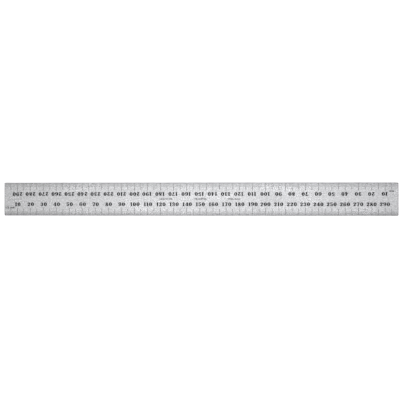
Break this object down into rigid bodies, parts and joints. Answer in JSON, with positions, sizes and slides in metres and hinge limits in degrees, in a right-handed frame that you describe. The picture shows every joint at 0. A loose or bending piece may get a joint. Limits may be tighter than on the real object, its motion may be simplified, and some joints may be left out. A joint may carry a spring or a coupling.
{
  "type": "steel ruler",
  "caption": "Flat rigid steel rule with square ends, and black-filled metric scales along both long edges of both faces.",
  "frame": {"origin": "centre of the back face, which the rule lies on", "axes": "+X along the length, with the zero of the front face's lower scale at -X; +Y across the width, towards the front face's upper scale; +Z out of the front face"},
  "size_m": [0.3, 0.025, 0.0012],
  "materials": {
    "steel": "satin, with a fine matt grain",
    "black_fill": "matt black enamel wiped into the etched marks"
  },
  "bodies": {
    "root": {"blade": "steel", "front_lower_scale_fill": "black_fill", "front_upper_scale_fill": "black_fill", "back_lower_scale_fill": "black_fill", "back_upper_scale_fill": "black_fill"}
  },
  "joints": []
}
